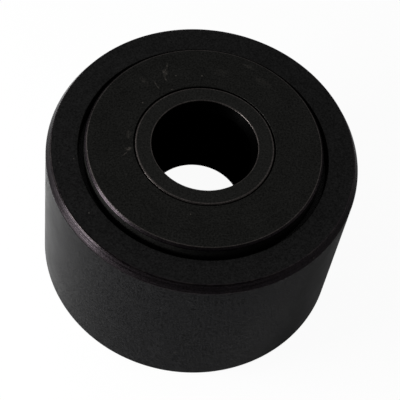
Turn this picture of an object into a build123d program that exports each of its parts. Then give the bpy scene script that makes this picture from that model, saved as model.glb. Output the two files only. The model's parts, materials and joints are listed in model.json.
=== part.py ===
from build123d import *
import math
import os

# Yoke-type cam follower, 1 inch, with a full set of needle rollers and no cage.
# Millimetres. The origin is on the bore axis at mid width, and +Z runs along the bore.

# The inner ring and its bore
bore_diameter = 7.9375            # 5/16 in
bore_mouth_chamfer = 0.30
overall_width = 17.4625           # 11/16 in, over both end plates
inner_raceway_diameter = 12.0
plate_seat_diameter = 11.37       # turned-down ends that carry the end plates
inner_edge_chamfer = 0.14
oil_groove_width = 2.4
oil_groove_depth = 0.35
oil_hole_diameter = 1.6

# The outer ring
outer_diameter = 25.4             # 1 in
ring_width = 15.875               # 5/8 in
tread_chamfer_radial = 0.38
tread_chamfer_axial = 0.77
counterbore_diameter = 20.24
counterbore_depth = 1.9875
mouth_edge_break = 0.08
raceway_edge_break = 0.15

# The end plates
plate_diameter = 19.32
plate_thickness = 2.0
plate_edge_chamfer = 0.20
plate_bore_chamfer = 0.08

# The needle rollers
roller_count = 21
roller_diameter = 2.0
roller_length = 11.8
roller_radial_clearance = 0.015   # at each raceway

# The thrust washers, which float between the roller ends and the end plates
washer_thickness = 0.70
washer_outer_diameter = 17.7
washer_bore_clearance = 0.06

# The lip seals, which are pressed into the counterbores
seal_heel_height = 0.60
seal_heel_width = 0.82
seal_lip_reach = 0.35             # how far the lip leans in past the heel
seal_lip_thickness = 0.17
seal_lip_clearance = 0.03         # from the lip to the end plate

# Worked out from the sizes above
half_overall = overall_width / 2
half_ring = ring_width / 2
plate_inner_face = half_overall - plate_thickness
ledge_height = half_ring - counterbore_depth
washer_height = (ledge_height + plate_inner_face - washer_thickness) / 2
inner_raceway_radius = inner_raceway_diameter / 2
roller_pitch_radius = inner_raceway_radius + roller_radial_clearance + roller_diameter / 2
outer_raceway_radius = roller_pitch_radius + roller_diameter / 2 + roller_radial_clearance


def turned(*outline):
    """A piece turned on a lathe: a closed outline of (radius, height) points about the Z axis."""
    with BuildPart() as piece:
        with BuildSketch(Plane.XZ):
            with BuildLine():
                Polyline(*outline, close=True)
            make_face()
        revolve(axis=Axis.Z)
    return piece.part


def mirrored_profile(upper_half):
    """An outline that is the same above and below mid width, from its upper half."""
    return list(upper_half) + [(radius, -height) for radius, height in reversed(upper_half)]


def outer_ring():
    """Thick ring with a straight tread, a raceway and a counterbore in each end."""
    tread = outer_diameter / 2
    mouth = counterbore_diameter / 2
    upper_half = [
        (outer_raceway_radius, ledge_height - raceway_edge_break),
        (outer_raceway_radius + raceway_edge_break, ledge_height),
        (mouth, ledge_height),
        (mouth, half_ring - mouth_edge_break),
        (mouth + mouth_edge_break, half_ring),
        (tread - tread_chamfer_radial, half_ring),
        (tread, half_ring - tread_chamfer_axial),
    ]
    return turned(*mirrored_profile(upper_half))


def inner_ring():
    """Ring that fills the width: raceway, turned-down ends, bore with chamfered mouths, oil groove and hole."""
    bore = bore_diameter / 2
    seat = plate_seat_diameter / 2
    groove = bore + oil_groove_depth
    upper_half = [
        (groove, oil_groove_width / 2),
        (bore, oil_groove_width / 2 + oil_groove_depth),
        (bore, half_overall - bore_mouth_chamfer),
        (bore + bore_mouth_chamfer, half_overall),
        (seat - inner_edge_chamfer, half_overall),
        (seat, half_overall - inner_edge_chamfer),
        (seat, plate_inner_face),
        (inner_raceway_radius, plate_inner_face),
    ]
    ring = turned(*mirrored_profile(upper_half))
    oil_hole = Cylinder(oil_hole_diameter / 2, inner_raceway_diameter, rotation=(0, 90, 0))
    return ring - Pos(inner_raceway_diameter / 2, 0, 0) * oil_hole


def end_plate():
    """Flat side washer, pressed on the inner ring's turned-down end."""
    seat = plate_seat_diameter / 2
    rim = plate_diameter / 2
    return turned(
        (seat, plate_inner_face),
        (rim, plate_inner_face),
        (rim, half_overall - plate_edge_chamfer),
        (rim - plate_edge_chamfer, half_overall),
        (seat + plate_bore_chamfer, half_overall),
        (seat, half_overall - plate_bore_chamfer),
    )


def thrust_washer():
    """Thin flat washer that floats between the roller ends and the end plate."""
    inner = inner_raceway_radius + washer_bore_clearance
    outer = washer_outer_diameter / 2
    top = washer_height + washer_thickness
    return turned((inner, washer_height), (outer, washer_height), (outer, top), (inner, top))


def lip_seal():
    """Rubber ring: a square heel in the counterbore and a lip that leans in under the end plate."""
    wall = counterbore_diameter / 2
    heel = wall - seal_heel_width
    heel_top = ledge_height + seal_heel_height
    lip_top = plate_inner_face - seal_lip_clearance
    return turned(
        (heel, ledge_height),
        (wall, ledge_height),
        (wall, heel_top),
        (heel + seal_lip_reach, heel_top),
        (heel - seal_lip_reach + seal_lip_thickness, lip_top),
        (heel - seal_lip_reach, lip_top - seal_lip_thickness / 2),
        (heel, heel_top - seal_lip_reach),
    )


def needle_roller(index):
    """One needle roller at its place round the pitch circle."""
    angle = 360 * index / roller_count
    place = Rotation(0, 0, angle) * Pos(roller_pitch_radius, 0, 0)
    return place * Cylinder(roller_diameter / 2, roller_length)


def on_lower_end(piece):
    """The same piece on the lower end, turned over about the X axis."""
    return Rotation(180, 0, 0) * piece


def check_clearances():
    """Print the running clearances, so that a changed size shows at once."""
    chord = 2 * roller_pitch_radius * math.sin(math.pi / roller_count)
    print("gap between neighbouring rollers", round(chord - roller_diameter, 3))
    print("roller end to washer", round(washer_height - roller_length / 2, 3))
    print("washer to ledge", round(washer_height - ledge_height, 3))
    print("plate rim to counterbore", round((counterbore_diameter - plate_diameter) / 2, 3))


def main():
    os.makedirs("parts", exist_ok=True)
    pieces = {"outer_ring": outer_ring(), "inner_ring": inner_ring()}
    paired = {"end_plate": end_plate(), "thrust_washer": thrust_washer(), "seal": lip_seal()}
    for name, piece in paired.items():
        pieces[name + "_upper"] = piece
        pieces[name + "_lower"] = on_lower_end(piece)
    for index in range(roller_count):
        pieces[f"needle_roller_{index + 1:02d}"] = needle_roller(index)
    for name, piece in pieces.items():
        piece.label = name
        export_step(piece, f"parts/{name}.step")
    check_clearances()


main()
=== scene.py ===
import json
import math

import bpy
import numpy as np
from mathutils import Matrix, Vector


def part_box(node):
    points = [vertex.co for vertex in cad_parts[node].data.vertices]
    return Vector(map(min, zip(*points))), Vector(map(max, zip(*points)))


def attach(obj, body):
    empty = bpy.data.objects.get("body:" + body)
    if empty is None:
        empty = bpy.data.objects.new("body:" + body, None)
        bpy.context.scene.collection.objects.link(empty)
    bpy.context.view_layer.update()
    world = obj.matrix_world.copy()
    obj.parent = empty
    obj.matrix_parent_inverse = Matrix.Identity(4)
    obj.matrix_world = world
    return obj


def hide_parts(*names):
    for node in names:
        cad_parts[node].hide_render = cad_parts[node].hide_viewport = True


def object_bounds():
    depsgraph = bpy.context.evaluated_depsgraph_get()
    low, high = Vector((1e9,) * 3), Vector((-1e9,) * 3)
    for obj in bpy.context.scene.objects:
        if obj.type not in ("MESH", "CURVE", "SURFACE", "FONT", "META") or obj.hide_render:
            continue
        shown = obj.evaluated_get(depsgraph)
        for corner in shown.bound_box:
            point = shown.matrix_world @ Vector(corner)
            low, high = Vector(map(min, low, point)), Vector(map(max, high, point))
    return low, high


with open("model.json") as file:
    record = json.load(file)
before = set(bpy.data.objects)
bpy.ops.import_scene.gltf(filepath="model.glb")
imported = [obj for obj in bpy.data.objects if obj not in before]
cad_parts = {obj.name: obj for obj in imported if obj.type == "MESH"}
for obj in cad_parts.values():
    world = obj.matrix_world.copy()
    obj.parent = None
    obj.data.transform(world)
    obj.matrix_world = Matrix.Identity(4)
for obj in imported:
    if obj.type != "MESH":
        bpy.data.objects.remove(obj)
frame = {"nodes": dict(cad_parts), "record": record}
cadLow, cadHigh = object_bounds()
mm = 0.001


def linearColor(hexText):
    # sRGB to linear: ((c + 0.055) / 1.055) ^ 2.4 above the toe, and c / 12.92 below it
    channels = np.array([int(hexText[i:i + 2], 16) for i in (1, 3, 5)]) / 255
    linear = np.where(channels > 0.04045, ((channels + 0.055) / 1.055) ** 2.4, channels / 12.92)
    return (*(float(c) for c in linear), 1.0)


def addNode(tree, kind, settings=None, **inputs):
    # one node: settings are its properties, and inputs go by name, or by number as in i0 and i1
    node = tree.nodes.new(kind)
    for name, value in (settings or {}).items():
        setattr(node, name, value)
    for name, value in inputs.items():
        byNumber = name[0] == "i" and name[1:].isdigit()
        socket = node.inputs[int(name[1:])] if byNumber else node.inputs[name.replace("_", " ")]
        if isinstance(value, bpy.types.NodeSocket):
            tree.links.new(value, socket)
        else:
            socket.default_value = value
    return node


def numbered(values):
    # input names i0, i1 and so on for values in order
    return {"i" + str(number): value for number, value in enumerate(values)}


def maths(tree, operation, *values):
    # the result of one Math node on up to three values
    return addNode(tree, "ShaderNodeMath", {"operation": operation}, **numbered(values)).outputs[0]


def vectors(tree, operation, *values, **inputs):
    # the result of one Vector Math node, which is a plain number for a length
    node = addNode(tree, "ShaderNodeVectorMath", {"operation": operation}, **numbered(values), **inputs)
    return node.outputs["Value" if operation == "LENGTH" else "Vector"]


def ramp(tree, value, low, high, toLow, toHigh, shape="LINEAR"):
    # a line from toLow at low to toHigh at high, and level past both ends
    return addNode(tree, "ShaderNodeMapRange", {"interpolation_type": shape}, Value=value, From_Min=low,
                   From_Max=high, To_Min=toLow, To_Max=toHigh).outputs[0]


def noise(tree, place, scale, detail, roughness=0.5):
    # cloudy noise between 0 and 1, about half on average
    return addNode(tree, "ShaderNodeTexNoise", Vector=place, Scale=scale, Detail=detail,
                   Roughness=roughness).outputs["Fac"]


def mixColor(tree, share, first, second):
    # first + share (second - first)
    return addNode(tree, "ShaderNodeMix", {"data_type": "RGBA"}, i0=share, i6=first, i7=second).outputs[2]


def bumped(tree, height, strength, depthMm):
    # the surface's direction where it is raised by height times depthMm
    node = addNode(tree, "ShaderNodeBump", Strength=strength, Distance=depthMm * mm, Height=height)
    return node.outputs[0]


def newMaterial(name):
    # a node material with an empty tree
    material = bpy.data.materials.new(name)
    material.use_nodes = True
    material.node_tree.nodes.clear()
    return material, material.node_tree


def principled(tree, **inputs):
    # a Principled surface as the material's output
    shader = addNode(tree, "ShaderNodeBsdfPrincipled", **inputs)
    addNode(tree, "ShaderNodeOutputMaterial", Surface=shader.outputs[0])


def roundedSection(corners, steps):
    # A closed section with every corner rounded. An arc's centre lies one radius from both of its sides,
    # and its normal turns evenly from the side before to the side after.
    place = np.array([c[:2] for c in corners], float)
    radius = np.array([c[2] for c in corners], float)
    side = np.roll(place, -1, 0) - place
    after = side / np.linalg.norm(side, axis=1)[:, None]
    before = np.roll(after, 1, 0)
    normalBefore = np.stack([before[:, 1], -before[:, 0]], 1)
    turn = np.arctan2(before[:, 0] * after[:, 1] - before[:, 1] * after[:, 0], (before * after).sum(1))
    bulge = np.sign(turn)
    tangentLength = radius * np.tan(np.abs(turn) / 2)
    centre = place - before * tangentLength[:, None] - (bulge * radius)[:, None] * normalBefore
    share = np.linspace(0, 1, steps + 1)
    angle = np.arctan2(normalBefore[:, 1], normalBefore[:, 0])[:, None] + turn[:, None] * share
    normal = np.stack([np.cos(angle), np.sin(angle)], -1)
    points = centre[:, None] + (bulge * radius)[:, None, None] * normal
    wear = np.array([c[4] for c in corners])[:, None] * np.sin(np.pi * share)
    return points.reshape(-1, 2), normal.reshape(-1, 2), wear.ravel()


def turnedPiece(name, corners, materials, body, nodes, segments=384, at=(0, 0), steps=6):
    # A section carried round an upright line: x = r cos t, y = r sin t, z = z, with t over a full turn.
    # Corners run anticlockwise: radius, height, rounding, zone of its arc / zone of the run after, wear.
    # A section that starts and ends on the line is open there, and a fan of triangles closes each end.
    points, normals, wear = roundedSection(corners, steps)
    zoneNames = list(materials)
    arcs, runs = ([zoneNames.index(c[3].split("/")[part]) for c in corners] for part in (0, -1))
    zones = np.stack([arcs] * steps + [runs], 1).ravel()
    onLine = corners[0][0] == 0
    inner = slice(steps + 1, -steps - 1) if onLine else slice(None)
    points, normals, wear, zones = points[inner], normals[inner], wear[inner], zones[inner]
    turn = np.arange(segments)[:, None] * 2 * np.pi / segments
    row = np.arange(segments)[:, None] * len(points)
    nextRow = np.roll(row, -1, 0)
    here = np.arange(len(points) - onLine)
    there = (here + 1) % len(points)
    verts = np.stack([points[:, 0] * np.cos(turn) + at[0], points[:, 0] * np.sin(turn) + at[1],
                      points[:, 1] + 0 * turn], -1).reshape(-1, 3)
    vertNormals = np.stack([normals[:, 0] * np.cos(turn), normals[:, 0] * np.sin(turn),
                            normals[:, 1] + 0 * turn], -1).reshape(-1, 3)
    faces = np.stack([row + here, nextRow + here, nextRow + there, row + there], -1).reshape(-1, 4).tolist()
    faceZones = np.tile(zones[here], segments)
    wear = np.tile(wear, segments)
    if onLine:
        poles = [[*at, points[0, 1]], [*at, points[-1, 1]]]
        bottom, top = len(verts), len(verts) + 1
        last = len(points) - 1
        fans = [np.stack([nextRow[:, 0], row[:, 0], np.full(segments, bottom)], -1),
                np.stack([row[:, 0] + last, nextRow[:, 0] + last, np.full(segments, top)], -1)]
        faces += np.concatenate(fans).tolist()
        verts = np.concatenate([verts, poles])
        vertNormals = np.concatenate([vertNormals, [[0, 0, -1], [0, 0, 1]]])
        faceZones = np.concatenate([faceZones, np.full(2 * segments, zones[0])])
        wear = np.concatenate([wear, [0, 0]])
    mesh = bpy.data.meshes.new(name)
    mesh.from_pydata((verts * mm).tolist(), [], faces)
    for material in materials.values():
        mesh.materials.append(material)
    mesh.polygons.foreach_set("material_index", faceZones.astype(np.int32))
    mesh.polygons.foreach_set("use_smooth", np.ones(len(faces), bool))
    mesh.attributes.new("wear", "FLOAT", "POINT").data.foreach_set("value", wear.astype(np.float32))
    mesh.normals_split_custom_set_from_vertices(vertNormals.tolist())
    mesh.update()
    piece = bpy.data.objects.new(name, mesh)
    bpy.context.scene.collection.objects.link(piece)
    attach(piece, body)
    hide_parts(*nodes)
    return piece


def upsideDown(corners, closing=None):
    # The same section on the lower end. Heights change sign, so the order is turned to stay anticlockwise,
    # and each run's zone comes from the corner that is now after it; closing is the last run's zone.
    flipped = [(r, -z, rounding, zone, wear) for r, z, rounding, zone, wear in reversed(corners)]
    runs = [c[3].split("/")[-1] for c in flipped[1:]] + [closing or flipped[0][3].split("/")[-1]]
    return [(*c[:3], c[3].split("/")[0] + "/" + run, c[4]) for c, run in zip(flipped, runs)]


def prismSides(sides):
    # the walls between a ring of points and the ring of points that comes after it
    return [(i, (i + 1) % sides, (i + 1) % sides + sides, i + sides) for i in range(sides)]


# Black oxide is a thin magnetite skin grown on the steel in a hot salt bath, then oiled. It gives back
# about one part in a hundred of the light, nearly without hue, and it keeps the cutting marks below it.
# The real marks are some 0.02 mm apart, too fine to show, so lineMm draws them coarser.
# streak says how often a mark breaks off on its way round. line, grain, mottle and glancing are swings of
# brightness, lineBump and grainBump are relief, and edge is how bare the worn corners are.
oxideFinishes = {
    "BlackOxideGroundTread": {
        "color": "#19191a", "rough": 0.34, "grazing": "#c8c8c8", "lineMm": 0.16, "streak": 2.5,
        "line": 0.02, "lineBump": 0.10, "grain": 0.6, "grainBump": 0.4, "mottle": 0.06, "edge": 0.10,
        "glancing": 0.10},
    "BlackOxideTurnedFace": {
        "color": "#191919", "rough": 0.55, "grazing": "#c8c8c8", "lineMm": 0.13, "streak": 3.0,
        "line": 0.10, "lineBump": 0.5, "grain": 0.5, "grainBump": 0.6, "mottle": 0.12, "edge": 0.12,
        "glancing": 0.03},
    "BlackOxideTurnedChamfer": {
        "color": "#1c191b", "rough": 0.21, "grazing": "#c8c8c8", "lineMm": 0.24, "streak": 0.8,
        "line": 0.8, "lineBump": 2.6, "grain": 0.4, "grainBump": 0.8, "mottle": 0.10, "edge": 0.12,
        "glancing": 0.03},
    "BlackOxidePlate": {
        "color": "#191918", "rough": 0.50, "grazing": "#c8c8c8", "lineMm": 0.12, "streak": 2.0,
        "line": 0.08, "lineBump": 0.4, "grain": 0.55, "grainBump": 0.6, "mottle": 0.16, "edge": 0.20,
        "glancing": 0.03},
    "BlackOxidePlateRim": {
        "color": "#1a1719", "rough": 0.31, "grazing": "#c8c8c8", "lineMm": 0.20, "streak": 1.0,
        "line": 0.25, "lineBump": 0.8, "grain": 0.5, "grainBump": 0.8, "mottle": 0.20, "edge": 0.15,
        "glancing": 0.03},
    "BlackOxidePlateWall": {
        "color": "#222221", "rough": 0.57, "grazing": "#c8c8c8", "lineMm": 0.16, "streak": 1.0,
        "line": 0.15, "lineBump": 0.8, "grain": 0.5, "grainBump": 0.8, "mottle": 0.20, "edge": 0.15,
        "glancing": 0.03},
    "BlackOxideInnerRing": {
        "color": "#1c1c1b", "rough": 0.48, "grazing": "#c8c8c8", "lineMm": 0.10, "streak": 3.0,
        "line": 0.10, "lineBump": 0.5, "grain": 0.45, "grainBump": 0.6, "mottle": 0.10, "edge": 0.25,
        "glancing": 0.03},
    "BlackOxideBrokenEdge": {
        "color": "#322f2e", "rough": 0.33, "grazing": "#c8c8c8", "lineMm": 0.20, "streak": 1.0,
        "line": 0.20, "lineBump": 0.6, "grain": 0.5, "grainBump": 0.8, "mottle": 0.25, "edge": 0.20,
        "glancing": 0.03},
    "BlackOxideBore": {
        "color": "#121212", "rough": 0.30, "grazing": "#707070", "lineMm": 0.12, "streak": 3.0,
        "line": 0.10, "lineBump": 0.5, "grain": 0.4, "grainBump": 0.6, "mottle": 0.10, "edge": 0.10,
        "glancing": 0.03},
}
# What the finishes share. Scales are per mm, and wornSteel shows where the skin is rubbed thin.
oxidePattern = {
    "layDetail": 2.0, "layRoughness": 0.6, "grainScale": 7.0, "grainDetail": 1.0, "grainRoughness": 0.7,
    "mottleScale": 0.45, "mottleDetail": 3.0, "mottleRoughness": 0.6, "mottleFrom": 0.3, "mottleTo": 0.7,
    "roughSwing": 0.03, "darkest": 0.1, "glanceFrom": 0.5, "glanceTo": 1.5, "bump": 0.5, "bumpMm": 0.01,
    "wornSteel": "#6d6862", "wearScale": 1.6, "wearDetail": 5.0, "wearRoughness": 0.65, "wearFrom": 0.42,
    "wearTo": 0.72}
nickPattern = {"cellsPerMm": 0.9, "core": 0.03, "rim": 0.07, "show": 0.35, "drawnAbove": 0.86}
scuffPattern = {"core": 0.4, "speckleScale": 5.0, "speckleDetail": 3.0, "speckleRoughness": 0.7,
                "speckleFrom": 0.40, "speckleTo": 0.60, "tall": 0.5}


def layCoordinates(tree):
    # Lathe and grinder marks run round the axis. The noise that draws them is read at the direction from
    # the axis, x / r and y / r, and at the height, with the radius as its fourth coordinate.
    coordinates = addNode(tree, "ShaderNodeTexCoord").outputs["Object"]
    inMm = vectors(tree, "SCALE", coordinates, Scale=1 / mm)
    flat = vectors(tree, "MULTIPLY", inMm, (1, 1, 0))
    return inMm, vectors(tree, "LENGTH", flat), vectors(tree, "NORMALIZE", flat)


def blackOxide(name, marks=()):
    # brightness = the product of 1 + 4 amount (pattern - 1/2) over the lay, the grain and the mottle
    look, shared = oxideFinishes[name], oxidePattern
    material, tree = newMaterial(name)
    inMm, radius, around = layCoordinates(tree)
    height = vectors(tree, "MULTIPLY", inMm, (0, 0, 1 / look["lineMm"]))
    layPlace = vectors(tree, "MULTIPLY_ADD", around, (look["streak"],) * 3, height)
    layDepth = maths(tree, "MULTIPLY", radius, 1 / look["lineMm"])
    lay = addNode(tree, "ShaderNodeTexNoise", {"noise_dimensions": "4D"}, Vector=layPlace, W=layDepth,
                  Scale=1.0, Detail=shared["layDetail"], Roughness=shared["layRoughness"]).outputs["Fac"]
    grain = noise(tree, inMm, shared["grainScale"], shared["grainDetail"], shared["grainRoughness"])
    mottle = noise(tree, inMm, shared["mottleScale"], shared["mottleDetail"], shared["mottleRoughness"])
    shade = 1.0
    for pattern, amount in ((lay, look["line"]), (grain, look["grain"]), (mottle, look["mottle"])):
        swing = maths(tree, "MULTIPLY_ADD", pattern, 4 * amount, 1 - 2 * amount)
        shade = maths(tree, "MULTIPLY", shade, swing)
    shade = maths(tree, "MAXIMUM", shade, shared["darkest"])
    oxide = vectors(tree, "SCALE", linearColor(look["color"])[:3], Scale=shade)
    # at a glancing angle the same patterns show, but far more weakly
    faint = ramp(tree, shade, shared["glanceFrom"], shared["glanceTo"], 1 - look["glancing"],
                 1 + look["glancing"])
    grazing = vectors(tree, "SCALE", linearColor(look["grazing"])[:3], Scale=faint)
    # edge wear: the skin rubs thin on the rounded corners, in broken stretches
    edge = addNode(tree, "ShaderNodeAttribute", {"attribute_name": "wear"}).outputs["Fac"]
    patchy = noise(tree, inMm, shared["wearScale"], shared["wearDetail"], shared["wearRoughness"])
    rubbed = ramp(tree, patchy, shared["wearFrom"], shared["wearTo"], 0.0, look["edge"])
    worn = maths(tree, "MULTIPLY", edge, rubbed)
    for mask in [nickMask(tree, inMm)] + [markMask(tree, inMm, mark) for mark in marks]:
        worn = maths(tree, "MAXIMUM", worn, mask)
    color = mixColor(tree, worn, oxide, linearColor(shared["wornSteel"]))
    rough = ramp(tree, mottle, shared["mottleFrom"], shared["mottleTo"],
                 look["rough"] - shared["roughSwing"], look["rough"] + shared["roughSwing"])
    lines = maths(tree, "MULTIPLY", lay, look["lineBump"])
    relief = maths(tree, "MULTIPLY_ADD", grain, look["grainBump"], lines)
    principled(tree, Base_Color=color, Metallic=1.0, Specular_Tint=grazing, Roughness=rough,
               Normal=bumped(tree, relief, shared["bump"], shared["bumpMm"]))
    return material


def nickMask(tree, inMm):
    # Tiny nicks: one point to each cell, and a few of the cells, drawn by their random value, show it.
    look = nickPattern
    cells = addNode(tree, "ShaderNodeTexVoronoi", Vector=inMm, Scale=look["cellsPerMm"])
    point = ramp(tree, cells.outputs["Distance"], look["core"], look["rim"], look["show"], 0.0)
    drawn = addNode(tree, "ShaderNodeSeparateColor", Color=cells.outputs["Color"]).outputs[0]
    return maths(tree, "MULTIPLY", point, maths(tree, "GREATER_THAN", drawn, look["drawnAbove"]))


def markMask(tree, inMm, mark):
    # A scuff is a stretched ball with a speckle over it: its place is turned and scaled into a unit ball,
    # where the mask falls from 1 at the core to 0 at the ball's skin, times the speckle.
    look = scuffPattern
    angle = math.radians(mark["at"])
    centre = (mark["radius"] * math.cos(angle), mark["radius"] * math.sin(angle), mark["height"])
    local = addNode(tree, "ShaderNodeMapping", {"vector_type": "TEXTURE"}, Vector=inMm, Location=centre,
                    Rotation=(0, 0, math.radians(mark["lean"])),
                    Scale=(mark["length"] / 2, mark["width"] / 2, mark.get("tall", look["tall"]) / 2))
    far = vectors(tree, "LENGTH", local.outputs[0])
    near = ramp(tree, far, look["core"], 1.0, 1.0, 0.0)
    speckle = noise(tree, inMm, look["speckleScale"], look["speckleDetail"], look["speckleRoughness"])
    broken = ramp(tree, speckle, look["speckleFrom"], look["speckleTo"], 0.0, mark["show"])
    return maths(tree, "MULTIPLY", broken, near)


groundPattern = {"linesPerMm": 14, "detail": 3.0, "bright": "#c9c8c6", "roughSwing": 0.05, "bump": 0.15,
                 "bumpMm": 0.005}


def groundSteel(name, colorHex, roughness):
    # Bearing steel, hardened and ground: color and roughness follow fine marks round the axis.
    look = groundPattern
    material, tree = newMaterial(name)
    inMm, _, around = layCoordinates(tree)
    place = vectors(tree, "MULTIPLY_ADD", inMm, (0, 0, look["linesPerMm"]), around)
    lay = noise(tree, place, 1.0, look["detail"])
    color = mixColor(tree, lay, linearColor(colorHex), linearColor(look["bright"]))
    rough = ramp(tree, lay, 0, 1, roughness - look["roughSwing"], roughness + look["roughSwing"])
    principled(tree, Base_Color=color, Metallic=1.0, Roughness=rough,
               Normal=bumped(tree, lay, look["bump"], look["bumpMm"]))
    return material


mouldedPattern = {"flowScale": 0.6, "flowDetail": 3.0, "pebbleDetail": 1.0, "bump": 0.3, "bumpMm": 0.01}


def mouldedPlastic(name, colorHex, darkHex, roughness, grainMm, ior=1.5):
    # Moulded acetal or nitrile: one even color with faint flow marks, and a slightly pebbled skin.
    look = mouldedPattern
    material, tree = newMaterial(name)
    coordinates = addNode(tree, "ShaderNodeTexCoord").outputs["Object"]
    inMm = vectors(tree, "SCALE", coordinates, Scale=1 / mm)
    flow = noise(tree, inMm, look["flowScale"], look["flowDetail"])
    pebble = noise(tree, inMm, 1 / grainMm, look["pebbleDetail"])
    color = mixColor(tree, flow, linearColor(colorHex), linearColor(darkHex))
    principled(tree, Base_Color=color, Roughness=roughness, IOR=ior,
               Normal=bumped(tree, pebble, look["bump"], look["bumpMm"]))
    return material


# Scuffs on the upper plate and dings on the tread. "at" is the bearing from +X in degrees, "lean" is the
# way the mark runs, "show" is how bare it is, and lengths are in mm.
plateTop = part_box("end_plate_upper")[1].z / mm
plateScuffs = (
    {"at": 124, "radius": 7.70, "length": 0.9, "width": 0.45, "lean": 112, "show": 0.40},
    {"at": 121, "radius": 8.25, "length": 0.7, "width": 0.18, "lean": 95, "show": 0.32},
    {"at": 126, "radius": 7.10, "length": 0.8, "width": 0.16, "lean": 125, "show": 0.26},
    {"at": 134, "radius": 6.85, "length": 1.2, "width": 0.16, "lean": 130, "show": 0.22},
    {"at": 139, "radius": 7.75, "length": 1.4, "width": 0.5, "lean": 140, "show": 0.08},
    {"at": 125.8, "radius": 5.90, "length": 0.3, "width": 0.15, "lean": 30, "show": 0.45},
    {"at": 196, "radius": 6.15, "length": 0.7, "width": 0.40, "lean": 200, "show": 0.30},
    {"at": 200, "radius": 6.50, "length": 1.0, "width": 0.14, "lean": 235, "show": 0.24},
    {"at": 183, "radius": 6.15, "length": 1.0, "width": 0.50, "lean": 95, "show": 0.12},
    {"at": 74, "radius": 8.8, "length": 1.4, "width": 0.4, "lean": 165, "show": 0.10},
    {"at": 62, "radius": 8.1, "length": 2.0, "width": 0.9, "lean": 150, "show": 0.05},
    {"at": 88, "radius": 7.4, "length": 1.6, "width": 0.8, "lean": 20, "show": 0.04},
)
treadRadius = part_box("outer_ring")[1].x / mm
treadDings = (
    {"at": 273, "height": -3.58, "length": 0.45, "width": 0.4, "lean": 3, "tall": 0.45, "show": 0.16},
    {"at": 278, "height": -1.70, "length": 0.9, "width": 0.4, "lean": 8, "tall": 0.20, "show": 0.16},
    {"at": 296, "height": 1.71, "length": 0.3, "width": 0.3, "lean": 0, "tall": 0.30, "show": 0.25},
)

tread = blackOxide("BlackOxideGroundTread", [dict(ding, radius=treadRadius) for ding in treadDings])
turnedFace = blackOxide("BlackOxideTurnedFace")
chamferSteel = blackOxide("BlackOxideTurnedChamfer")
plateSteel = blackOxide("BlackOxidePlate", [dict(scuff, height=plateTop) for scuff in plateScuffs])
rimSteel = blackOxide("BlackOxidePlateRim")
wallSteel = blackOxide("BlackOxidePlateWall")
innerRingSteel = blackOxide("BlackOxideInnerRing")
brokenEdge = blackOxide("BlackOxideBrokenEdge")
boreSteel = blackOxide("BlackOxideBore")
raceway = groundSteel("GroundRaceway", "#9a9896", roughness=0.25)
needleSteel = groundSteel("PolishedNeedleSteel", "#b4b2b0", roughness=0.15)
acetal = mouldedPlastic("NaturalAcetal", "#e6dfcc", "#dbd2bb", roughness=0.42, grainMm=0.25)
nitrile = mouldedPlastic("BlackNitrile", "#070707", "#0a0a0a", roughness=0.6, grainMm=0.12, ior=1.25)
print("materials made")

# Sizes that the frame gives, in mm
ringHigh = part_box("outer_ring")[1] / mm
plateLow, plateHigh = (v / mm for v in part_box("end_plate_upper"))
sealLow, sealHigh = (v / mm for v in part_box("seal_upper"))
washerLow, washerHigh = (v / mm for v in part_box("thrust_washer_upper"))
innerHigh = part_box("inner_ring")[1] / mm
rollerLow, rollerHigh = (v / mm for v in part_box("needle_roller_01"))
boreMount = next(m for m in frame["record"]["mounts"] if m["name"] == "bore")
boreRadius = boreMount["dims"]["r_mm"]
rollerNodes = sorted(n for n in frame["nodes"] if n.startswith("needle_roller_"))
rollerRadius = (rollerHigh.x - rollerLow.x) / 2
pitchRadius = (rollerHigh.x + rollerLow.x) / 2
runningClearance = pitchRadius - rollerRadius - innerHigh.x

ringSizes = {"chamferRadial": 0.38, "chamferAxial": 0.77, "treadEdge": 0.35, "faceEdge": 0.15,
             "counterboreEdge": 0.10, "fillet": 0.15, "racewayEdge": 0.15, "segments": 512}
counterbore = sealHigh.x
ledge = sealLow.z
outerRaceway = pitchRadius + rollerRadius + runningClearance
ringUpper = [
    (ringHigh.x, ringHigh.z - ringSizes["chamferAxial"], ringSizes["treadEdge"], "chamfer", 0.6),
    (ringHigh.x - ringSizes["chamferRadial"], ringHigh.z, ringSizes["faceEdge"], "chamfer/face", 1.0),
    (counterbore, ringHigh.z, ringSizes["counterboreEdge"], "face", 0.7),
    (counterbore, ledge, ringSizes["fillet"], "face", 0.0),
    (outerRaceway, ledge, ringSizes["racewayEdge"], "raceway", 0.3),
]
ringFinish = {"tread": tread, "chamfer": chamferSteel, "face": turnedFace, "raceway": raceway}
turnedPiece("outerRing", ringUpper + upsideDown(ringUpper, "tread"), ringFinish, "outer_ring",
            ["outer_ring"], segments=ringSizes["segments"])

# The plate's bore stands off the seat by a hair near the top, which shows as a dark line at the seam.
plateSizes = {"bore": 11.37, "rimEdge": 0.20, "rimRounding": 0.16, "topRounding": 0.10,
              "boreRounding": 0.06, "innerRounding": 0.05, "seamWidth": 0.05, "seamDepth": 0.60,
              "seamRounding": 0.02, "segments": 512}
seat = plateSizes["bore"] / 2
seamRadius = seat + plateSizes["seamWidth"]
seamFoot = plateHigh.z - plateSizes["seamDepth"]
plateSection = [
    (plateHigh.x, plateLow.z, plateSizes["innerRounding"], "wall", 0.2),
    (plateHigh.x, plateHigh.z - plateSizes["rimEdge"], plateSizes["rimRounding"], "rim", 0.0),
    (plateHigh.x - plateSizes["rimEdge"], plateHigh.z, plateSizes["topRounding"], "edge/plate", 0.6),
    (seamRadius, plateHigh.z, plateSizes["boreRounding"], "plate", 0.2),
    (seamRadius, seamFoot, plateSizes["seamRounding"], "plate", 0.0),
    (seat, seamFoot - plateSizes["seamWidth"], plateSizes["seamRounding"], "plate", 0.0),
    (seat, plateLow.z, plateSizes["innerRounding"], "plate", 0.0),
]
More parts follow.
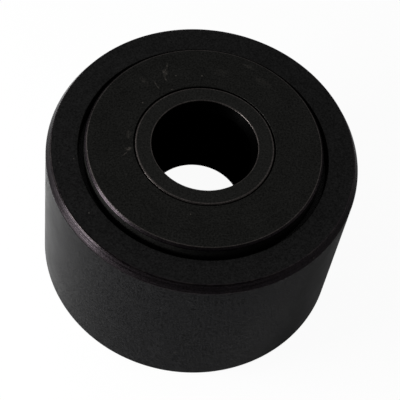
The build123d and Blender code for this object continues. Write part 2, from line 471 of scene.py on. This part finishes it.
plateFinish = {"plate": plateSteel, "wall": wallSteel, "rim": rimSteel, "edge": brokenEdge}

# A square heel in the counterbore, and a lip that leans in under the plate
sealSizes = {"heelWidth": 0.82, "heelHeight": 0.60, "heelRounding": 0.04, "topRounding": 0.06,
             "lipReach": 0.35, "lipThick": 0.17, "lipRounding": 0.03, "bend": 0.10}
heel = counterbore - sealSizes["heelWidth"]
heelTop = ledge + sealSizes["heelHeight"]
lipInner = heel - sealSizes["lipReach"]
lipTop = sealHigh.z
sealSection = [
    (heel, ledge, sealSizes["heelRounding"], "rubber", 0),
    (counterbore, ledge, sealSizes["heelRounding"], "rubber", 0),
    (counterbore, heelTop, sealSizes["topRounding"], "rubber", 0),
    (heel + sealSizes["lipReach"], heelTop, sealSizes["bend"], "rubber", 0),
    (lipInner + sealSizes["lipThick"], lipTop, sealSizes["lipRounding"], "rubber", 0),
    (lipInner, lipTop - sealSizes["lipThick"] / 2, sealSizes["lipRounding"], "rubber", 0),
    (heel, heelTop - sealSizes["lipReach"], sealSizes["bend"], "rubber", 0),
]

washerSizes = {"boreClearance": 0.06, "rounding": 0.12}
washerInner = innerHigh.x + washerSizes["boreClearance"]
washerSection = [
    (washerHigh.x, washerLow.z, washerSizes["rounding"], "plastic", 0),
    (washerHigh.x, washerHigh.z, washerSizes["rounding"], "plastic", 0),
    (washerInner, washerHigh.z, washerSizes["rounding"], "plastic", 0),
    (washerInner, washerLow.z, washerSizes["rounding"], "plastic", 0),
]
for end, turnOver in (("Upper", list), ("Lower", upsideDown)):
    node = end.lower()
    turnedPiece("endPlate" + end, turnOver(plateSection), plateFinish, "hub", ["end_plate_" + node],
                segments=plateSizes["segments"])
    turnedPiece("seal" + end, turnOver(sealSection), {"rubber": nitrile}, "outer_ring",
                ["seal_" + node])
    turnedPiece("thrustWasher" + end, turnOver(washerSection), {"plastic": acetal}, "roller_track",
                ["thrust_washer_" + node])
print("ring, plates, seals and washers made")

# The inner ring's end is a hair under its seat too, which makes the dark line at the seam wide enough.
innerSizes = {"edge": 0.12, "edgeRounding": 0.16, "shoulderRounding": 0.05, "seamWidth": 0.02,
              "seamRounding": 0.02, "flareRadial": 0.35, "flareAxial": 1.1, "flareRounding": 0.5,
              "mouthRounding": 0.10, "grooveHalf": 1.2, "grooveDepth": 0.35, "grooveEdge": 0.03,
              "grooveFillet": 0.10, "segments": 256}
seatTop = seat - innerSizes["seamWidth"]
mouthRadius = boreRadius + innerSizes["flareRadial"]
grooveRadius = boreRadius + innerSizes["grooveDepth"]
grooveMouth = innerSizes["grooveHalf"] + innerSizes["grooveDepth"]
innerUpper = [
    (innerHigh.x, plateLow.z, innerSizes["shoulderRounding"], "end", 0.0),
    (seat, plateLow.z, innerSizes["shoulderRounding"], "end", 0.0),
    (seat, seamFoot - innerSizes["seamWidth"], innerSizes["seamRounding"], "end", 0.0),
    (seatTop, seamFoot, innerSizes["seamRounding"], "end", 0.0),
    (seatTop, innerHigh.z - innerSizes["edge"], innerSizes["edgeRounding"], "edge", 0.6),
    (seatTop - innerSizes["edge"], innerHigh.z, innerSizes["edgeRounding"], "edge/end", 0.6),
    (mouthRadius, innerHigh.z, innerSizes["mouthRounding"], "edge/bore", 0.6),
    (boreRadius, innerHigh.z - innerSizes["flareAxial"], innerSizes["flareRounding"], "bore", 0.0),
    (boreRadius, grooveMouth, innerSizes["grooveEdge"], "bore", 0.3),
    (grooveRadius, innerSizes["grooveHalf"], innerSizes["grooveFillet"], "bore", 0.0),
]
innerFinish = {"raceway": raceway, "end": innerRingSteel, "edge": brokenEdge, "bore": boreSteel}
innerRing = turnedPiece("innerRing", innerUpper + upsideDown(innerUpper, "raceway"), innerFinish, "hub",
                        ["inner_ring"], segments=innerSizes["segments"])

# The oil hole runs out along +X from the groove. A round bar cuts it, and is then taken away. The bar is
# turned by half a step, so that none of its corners lies in the same plane as the ring's own.
holeSizes = {"radius": 0.8, "overrun": 1.0, "sides": 48}
sides = holeSizes["sides"]
barTurn = (np.arange(sides) + 0.5) * 2 * np.pi / sides
barRound = holeSizes["radius"] * np.stack([np.cos(barTurn), np.sin(barTurn)], 1)
barEnds = (boreRadius - holeSizes["overrun"], innerHigh.x + holeSizes["overrun"])
barPoints = np.concatenate([np.insert(barRound, 0, x, 1) for x in barEnds]) * mm
barFaces = [tuple(reversed(range(sides))), tuple(range(sides, 2 * sides))] + prismSides(sides)
cutter = bpy.data.objects.new("oilHoleCutter", bpy.data.meshes.new("oilHoleCutter"))
cutter.data.from_pydata(barPoints.tolist(), [], barFaces)
bpy.context.scene.collection.objects.link(cutter)
cut = innerRing.modifiers.new("oilHole", "BOOLEAN")
cut.object = cutter
cut.operation = "DIFFERENCE"
cut.solver = "EXACT"
graph = bpy.context.evaluated_depsgraph_get()
drilled = bpy.data.meshes.new_from_object(innerRing.evaluated_get(graph), depsgraph=graph)
innerRing.modifiers.clear()
innerRing.data = drilled
bpy.data.objects.remove(cutter)
print("oil hole cut, faces", len(drilled.polygons))

rollerSizes = {"endRounding": 0.25, "segments": 48}
rollerSection = [
    (0, rollerLow.z, 0, "steel", 0),
    (rollerRadius, rollerLow.z, rollerSizes["endRounding"], "steel", 0),
    (rollerRadius, rollerHigh.z, rollerSizes["endRounding"], "steel", 0),
    (0, rollerHigh.z, 0, "steel", 0),
]
for index, node in enumerate(rollerNodes):
    turn = 2 * math.pi * index / len(rollerNodes)
    place = (pitchRadius * math.cos(turn), pitchRadius * math.sin(turn))
    turnedPiece("needleRoller{:02d}".format(index + 1), rollerSection, {"steel": needleSteel}, node,
                [node], segments=rollerSizes["segments"], at=place)
print("inner ring and rollers made")

cameraView = {"aimMm": (0.4175, 0.0, 0.3372), "distanceMm": 120.06, "elevation": 58.01, "azimuth": 0.376,
              "roll": 10.53, "lensMm": 126.93, "clipNearM": 0.001, "clipFarM": 10}


def makeCamera(look):
    # forward = (sin a cos e, cos a cos e, -sin e), then the view is turned by the roll about it
    azimuth, elevation, roll = (math.radians(look[k]) for k in ("azimuth", "elevation", "roll"))
    forward = Vector((math.sin(azimuth) * math.cos(elevation), math.cos(azimuth) * math.cos(elevation),
                      -math.sin(elevation)))
    level = forward.cross(Vector((0, 0, 1))).normalized()
    upright = level.cross(forward)
    right = level * math.cos(roll) + upright * math.sin(roll)
    up = right.cross(forward)
    turned = Matrix((right, up, -forward)).transposed().to_4x4()
    place = Vector(look["aimMm"]) * mm - forward * look["distanceMm"] * mm
    data = bpy.data.cameras.new("camera")
    data.lens = look["lensMm"]
    data.clip_start = look["clipNearM"]
    data.clip_end = look["clipFarM"]
    camera = bpy.data.objects.new("camera", data)
    camera.matrix_world = Matrix.Translation(place) @ turned
    bpy.context.scene.collection.objects.link(camera)
    bpy.context.scene.camera = camera


# worldFront and worldGloss are what gloss sees of the room in front and behind, roomFrom and roomTo are
# where the one turns into the other, and floorWhite is the share of the floor that is plain white.
studio = {"worldDiffuse": 0.26, "worldGloss": 0.80, "worldFront": 0.22, "roomFrom": -0.7, "roomTo": 0.3,
          "floorGloss": 0.0, "floorSizeM": 1.2, "floorGapMm": 0.01, "floorWhite": 0.95,
          "floorColor": "#e8e8e8"}
softboxes = {
    "keySoftbox": {"watts": 0.31, "wideM": 0.05, "tallM": 0.05, "distanceM": 0.10, "bearing": 206,
                   "elevation": 9},
    "sideSoftbox": {"watts": 0.04, "wideM": 0.06, "tallM": 0.10, "distanceM": 0.12, "bearing": 165,
                    "elevation": 25},
    "overheadSoftbox": {"watts": 0.11, "wideM": 0.50, "tallM": 0.50, "distanceM": 0.60, "bearing": 55,
                        "elevation": 75},
}


def softLamp(name, watts, wideM, tallM, distanceM, bearing, elevation):
    # an area lamp towards (cos b cos e, sin b cos e, sin e) from the part, turned to face it
    bearing, elevation = math.radians(bearing), math.radians(elevation)
    toLamp = Vector((math.cos(bearing) * math.cos(elevation), math.sin(bearing) * math.cos(elevation),
                     math.sin(elevation)))
    data = bpy.data.lights.new(name, "AREA")
    data.shape = "RECTANGLE"
    data.size = wideM
    data.size_y = tallM
    data.energy = watts
    lamp = bpy.data.objects.new(name, data)
    lamp.location = toLamp * distanceM
    lamp.rotation_mode = "QUATERNION"
    lamp.rotation_quaternion = toLamp.to_track_quat("Z", "Y")
    bpy.context.scene.collection.objects.link(lamp)


def whiteShare(tree, glossShare):
    # how much of the white background a ray sees: all of it straight on or through glass, some in gloss
    path = addNode(tree, "ShaderNodeLightPath")
    straight = maths(tree, "MAXIMUM", path.outputs["Is Camera Ray"], path.outputs["Is Transmission Ray"])
    gloss = maths(tree, "MULTIPLY", path.outputs["Is Glossy Ray"], glossShare)
    return maths(tree, "MAXIMUM", straight, gloss)


def makeStudio(look, lamps):
    # the world is plain white to the camera, and lights dull surfaces evenly at a level of its own
    bpy.context.scene.view_settings.view_transform = "Standard"
    world = bpy.data.worlds.new("studio")
    bpy.context.scene.world = world
    world.use_nodes = True
    tree = world.node_tree
    tree.nodes.clear()
    # gloss sees a darker room in front: the level falls as the direction turns from behind the part to -Y
    direction = addNode(tree, "ShaderNodeTexCoord").outputs["Generated"]
    depth = addNode(tree, "ShaderNodeSeparateXYZ", Vector=direction).outputs["Y"]
    room = ramp(tree, depth, look["roomFrom"], look["roomTo"], look["worldFront"], look["worldGloss"],
                "SMOOTHSTEP")
    diffuse = addNode(tree, "ShaderNodeLightPath").outputs["Is Diffuse Ray"]
    ambient = maths(tree, "MULTIPLY", diffuse, look["worldDiffuse"])
    strength = maths(tree, "MAXIMUM", whiteShare(tree, room), ambient)
    back = addNode(tree, "ShaderNodeBackground", Color=(1, 1, 1, 1), Strength=strength)
    addNode(tree, "ShaderNodeOutputWorld", Surface=back.outputs[0])
    for name, lamp in lamps.items():
        softLamp(name, **lamp)


def stageMesh(name, verts, faces, material):
    # a mesh of the floor or backdrop, which is no part of the object
    mesh = bpy.data.meshes.new(name)
    mesh.from_pydata(verts, [], faces)
    mesh.materials.append(material)
    piece = bpy.data.objects.new(name, mesh)
    bpy.context.scene.collection.objects.link(piece)


def whiteBoard(look):
    # Matt white board. Most of what the camera sees of it is plain white, and the rest is its lit color,
    # which keeps the part's shadow.
    material, tree = newMaterial("MattWhiteBoard")
    lit = addNode(tree, "ShaderNodeBsdfDiffuse", Color=linearColor(look["floorColor"]))
    white = addNode(tree, "ShaderNodeEmission", Color=(1, 1, 1, 1), Strength=1.0)
    share = maths(tree, "MULTIPLY", whiteShare(tree, look["floorGloss"]), look["floorWhite"])
    mixed = addNode(tree, "ShaderNodeMixShader", i0=share, i1=lit.outputs[0], i2=white.outputs[0])
    addNode(tree, "ShaderNodeOutputMaterial", Surface=mixed.outputs[0])
    return material


makeCamera(cameraView)
makeStudio(studio, softboxes)
board = whiteBoard(studio)
half = studio["floorSizeM"] / 2
floorHeight = cadLow.z - studio["floorGapMm"] * mm
stageMesh("floor", [(-half, -half, floorHeight), (half, -half, floorHeight), (half, half, floorHeight),
                    (-half, half, floorHeight)], [(0, 1, 2, 3)], board)
# A roll of the same glowing board stands in the bore, a little clear of its wall, built like a piece of the
# backdrop. It is painted light: its glow makes the bore white from its top down, where a bore this long
# would be dark at the camera's angle.
rollSizes = {"topMm": -0.37, "clearMm": 0.04, "sides": 96}
sides = rollSizes["sides"]
rollTurn = np.arange(sides) * 2 * np.pi / sides
rollRound = (boreRadius - rollSizes["clearMm"]) * mm * np.stack([np.cos(rollTurn), np.sin(rollTurn)], 1)
rollPoints = np.concatenate([np.insert(rollRound, 2, z, 1) for z in (floorHeight, rollSizes["topMm"] * mm)])
rollTop = tuple(range(sides, 2 * sides))
stageMesh("whiteRoll", rollPoints.tolist(), prismSides(sides) + [rollTop], board)
print("camera, lamps, floor and roll made")
